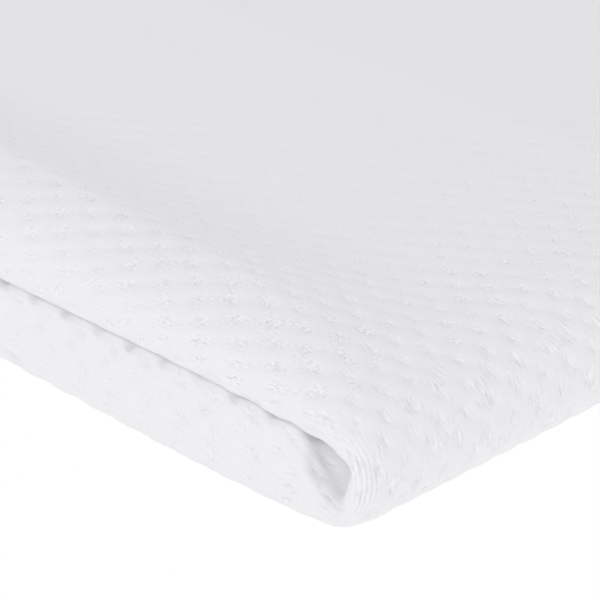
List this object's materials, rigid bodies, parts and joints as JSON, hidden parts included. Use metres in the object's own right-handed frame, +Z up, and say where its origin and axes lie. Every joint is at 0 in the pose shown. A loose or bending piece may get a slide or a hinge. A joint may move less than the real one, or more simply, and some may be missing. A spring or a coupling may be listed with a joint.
{
  "type": "folded cooling towel",
  "caption": "White cooling towel of dimpled knit with plain hems, folded lengthwise and then across into a flat, soft pad.",
  "frame": {"origin": "middle of the underside, on the surface that the towel lies on", "axes": "+Z up, +Y along the long fold from the cross fold to the hemmed ends, +X from the long fold to the side edges"},
  "size_m": [0.1526, 0.4052, 0.0246],
  "materials": {
    "white_knit": "matt white synthetic knit with rows of small soft dimples"
  },
  "bodies": {
    "root": {"towel": "white_knit"}
  },
  "joints": []
}
